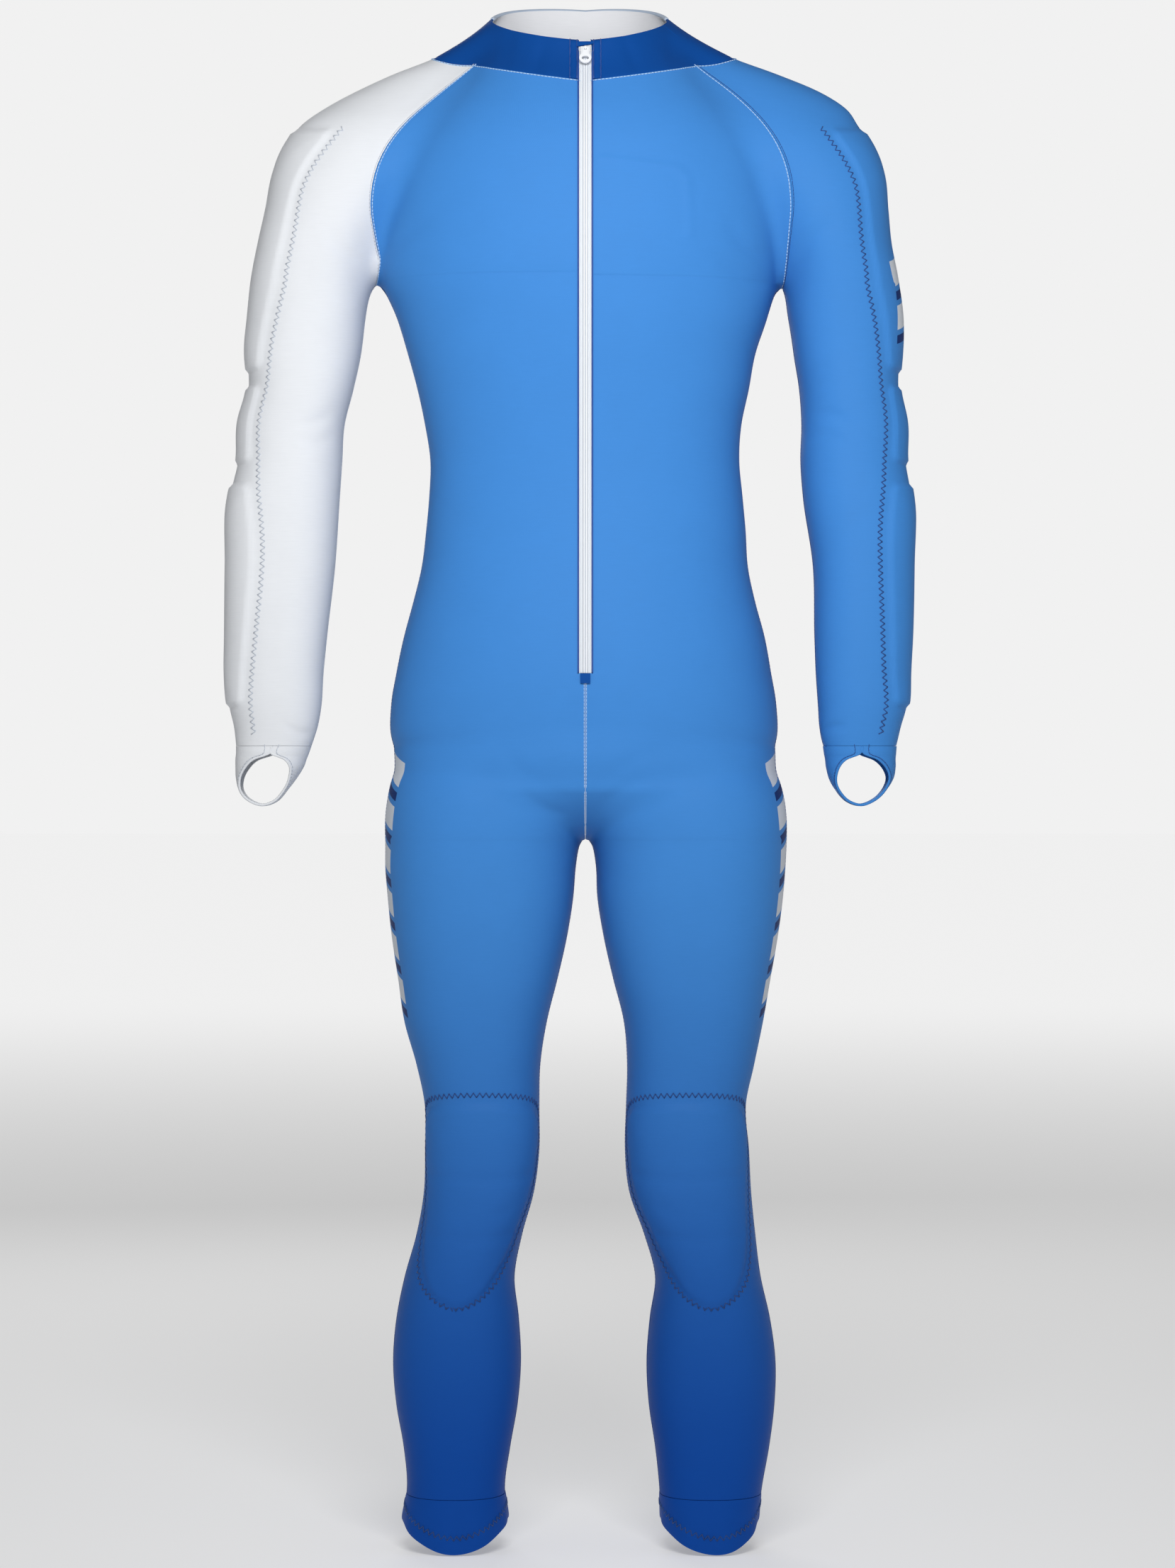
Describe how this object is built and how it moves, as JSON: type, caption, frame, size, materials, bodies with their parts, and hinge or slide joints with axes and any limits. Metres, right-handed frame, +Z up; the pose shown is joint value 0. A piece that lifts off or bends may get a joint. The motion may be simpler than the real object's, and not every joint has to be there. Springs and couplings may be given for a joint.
{
  "type": "ski race suit",
  "caption": "One-piece stretch ski race suit in blue with one white raglan sleeve, stand collar, front zip, knee and arm pads and hand loops, worn in shape with no wearer",
  "frame": {"origin": "on the wearer's shoulders, in the middle of the neck opening", "axes": "+Z up, the front faces -Y, the wearer's left is +X"},
  "size_m": [0.6407, 0.2393, 1.4399],
  "materials": {
    "blue_stretch": "satin",
    "deep_blue_stretch": "satin",
    "white_stretch": "satin",
    "white_lining": "matte",
    "zip_white": "satin"
  },
  "bodies": {
    "suit": {"front_right": "blue_stretch", "front_left": "blue_stretch", "back_right": "blue_stretch", "back_left": "blue_stretch", "sleeve_right": "white_stretch", "sleeve_left": "blue_stretch", "hand_loop_right": "white_stretch", "hand_loop_left": "blue_stretch", "collar": "deep_blue_stretch", "collar_lining": "white_lining", "hem_band_right": "deep_blue_stretch", "hem_band_left": "deep_blue_stretch", "knee_pad_right": "blue_stretch", "knee_pad_left": "blue_stretch", "shoulder_pad_right": "white_stretch", "shoulder_pad_left": "blue_stretch", "elbow_pad_right": "white_stretch", "elbow_pad_left": "blue_stretch", "forearm_pad_right": "white_stretch", "forearm_pad_left": "blue_stretch", "zip_tape_right": "zip_white", "zip_tape_left": "zip_white", "zip_coil": "zip_white", "zip_slider": "zip_white", "zip_garage": "deep_blue_stretch", "zip_stop": "deep_blue_stretch"},
    "pull": {"zip_pull": "zip_white"}
  },
  "joints": [
    {"name": "pull_swing", "type": "hinge", "parent": "suit", "child": "pull", "pos_m": [0, -0.07405, 0.02526], "axis": [-1, 0, 0], "range_deg": [0, 60]}
  ]
}
